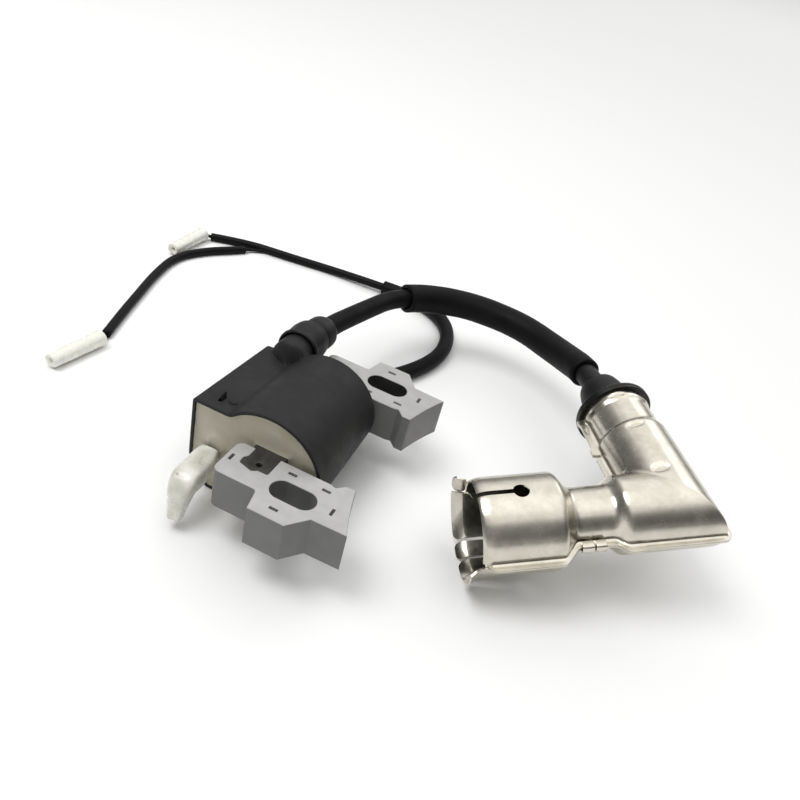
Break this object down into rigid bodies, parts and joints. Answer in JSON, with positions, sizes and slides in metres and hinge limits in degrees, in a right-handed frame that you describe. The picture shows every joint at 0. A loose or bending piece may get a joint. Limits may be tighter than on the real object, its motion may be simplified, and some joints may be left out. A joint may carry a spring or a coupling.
{
  "type": "ignition coil",
  "caption": "Small-engine ignition coil: laminated two-leg core, potted case, high-tension lead to a shielded right-angle plug cap, and a branched kill lead.",
  "frame": {"origin": "on the surface the coil rests on, under the middle of the coil and core (cords and plug cap left out)", "axes": "+X from the coil towards the flywheel, +Y along the winding axis towards the lead's tower, +Z along the lamination stack, up"},
  "size_m": [0.2386, 0.1712, 0.0422],
  "materials": {
    "core_paint": "satin grey paint over laminations",
    "core_paint_rear": "satin grey paint over laminations",
    "bare_lamination": "bare dark steel",
    "case_plastic": "matt moulded black",
    "resin": "cream cast resin",
    "bobbin_plastic": "natural nylon",
    "copper": "enamelled copper",
    "board": "circuit board",
    "component": "moulded component",
    "brass": "bright",
    "boot_rubber": "satin moulded rubber",
    "lead_rubber": "satin extruded rubber",
    "loom": "satin extruded sleeve",
    "wire_sheath": "satin extruded sheath",
    "milky_sleeve": "milky translucent vinyl",
    "clear_sleeve": "wrinkled translucent vinyl",
    "tinned": "tinned",
    "ring_rubber": "glossy rubber",
    "shield_nickel": "brushed nickel plate",
    "insulator": "moulded phenolic",
    "spring_steel": "drawn wire"
  },
  "bodies": {
    "coil": {"front_leg": "core_paint", "rear_leg": "core_paint_rear", "centre_limb": "bare_lamination", "coil_case": "case_plastic", "potting_resin": "resin", "primary_bobbin": "bobbin_plastic", "primary_winding": "copper", "secondary_bobbin": "bobbin_plastic", "secondary_winding": "copper", "trigger_board": "board", "power_transistor": "component", "trigger_resistors": "component", "trigger_capacitor": "component", "high_tension_contact": "brass", "tower_boot": "boot_rubber", "ht_lead": "lead_rubber", "ht_lead_core": "copper", "lead_loom_sleeve": "loom", "cap_boot": "boot_rubber", "kill_wire_grommet": "boot_rubber", "kill_lead": "wire_sheath", "kill_lead_loom": "loom", "kill_branch_wire": "wire_sheath", "kill_branch_sheath": "wire_sheath", "wire_tail_a": "wire_sheath", "wire_tail_b": "wire_sheath", "bullet_terminal_a": "brass", "bullet_terminal_b": "brass", "connector_sleeve_a": "milky_sleeve", "connector_sleeve_b": "milky_sleeve", "ground_terminal": "tinned", "ground_terminal_sleeve": "clear_sleeve"},
    "plug_cap": {"cap_ring": "ring_rubber", "shield_upper": "shield_nickel", "shield_lower": "shield_nickel", "cap_insulator": "insulator", "plug_seal": "boot_rubber", "plug_terminal": "brass", "terminal_clip": "spring_steel", "contact_spring": "spring_steel", "suppressor_resistor": "component", "lead_screw": "brass"}
  },
  "joints": [
    {"name": "cap_swivel", "type": "hinge", "parent": "coil", "child": "plug_cap", "pos_m": [0.10405, 0.02607, 0.02811], "axis": [-0.5798, 0.8142, 0.0298], "range_deg": [0, 90]}
  ]
}
